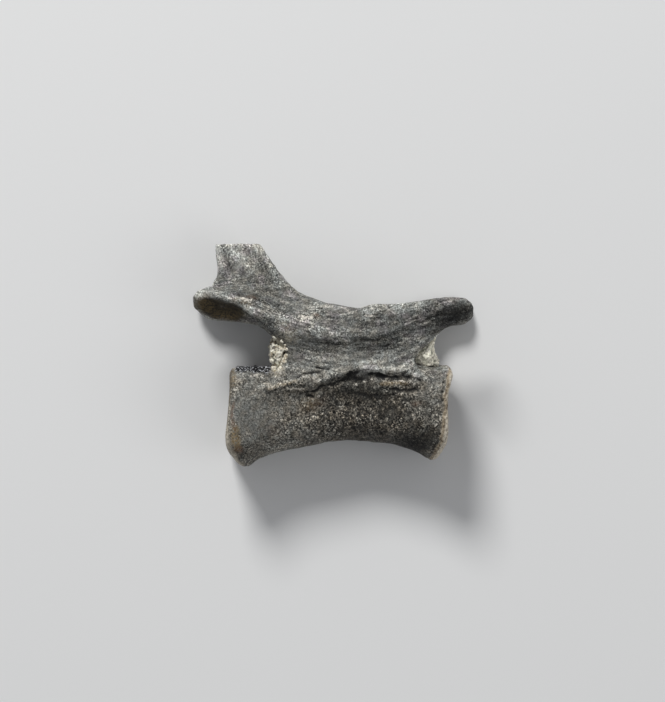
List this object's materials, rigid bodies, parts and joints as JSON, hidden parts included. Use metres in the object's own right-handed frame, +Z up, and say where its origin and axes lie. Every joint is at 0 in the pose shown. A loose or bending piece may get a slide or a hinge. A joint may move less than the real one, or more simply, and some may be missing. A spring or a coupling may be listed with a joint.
{
  "type": "fossil synapsid vertebra",
  "caption": "Fossil backbone element of an early synapsid: spool-shaped body with cupped ends, arch over a sediment-filled canal, short rear spine and paired joint processes.",
  "frame": {"origin": "middle of the bounding box in plan, on the surface that the bone lies on", "axes": "+X forward along the bone, +Y dorsal, +Z up, out of the bone's right side, which faces up"},
  "size_m": [0.014, 0.0112, 0.0047],
  "materials": {
    "fossil_bone": "charcoal-grey mineralised bone with fine pale grain, satin where smooth",
    "sediment": "matt granular cream sediment"
  },
  "bodies": {
    "root": {"vertebra": "fossil_bone", "canal_matrix": "sediment"}
  },
  "joints": []
}
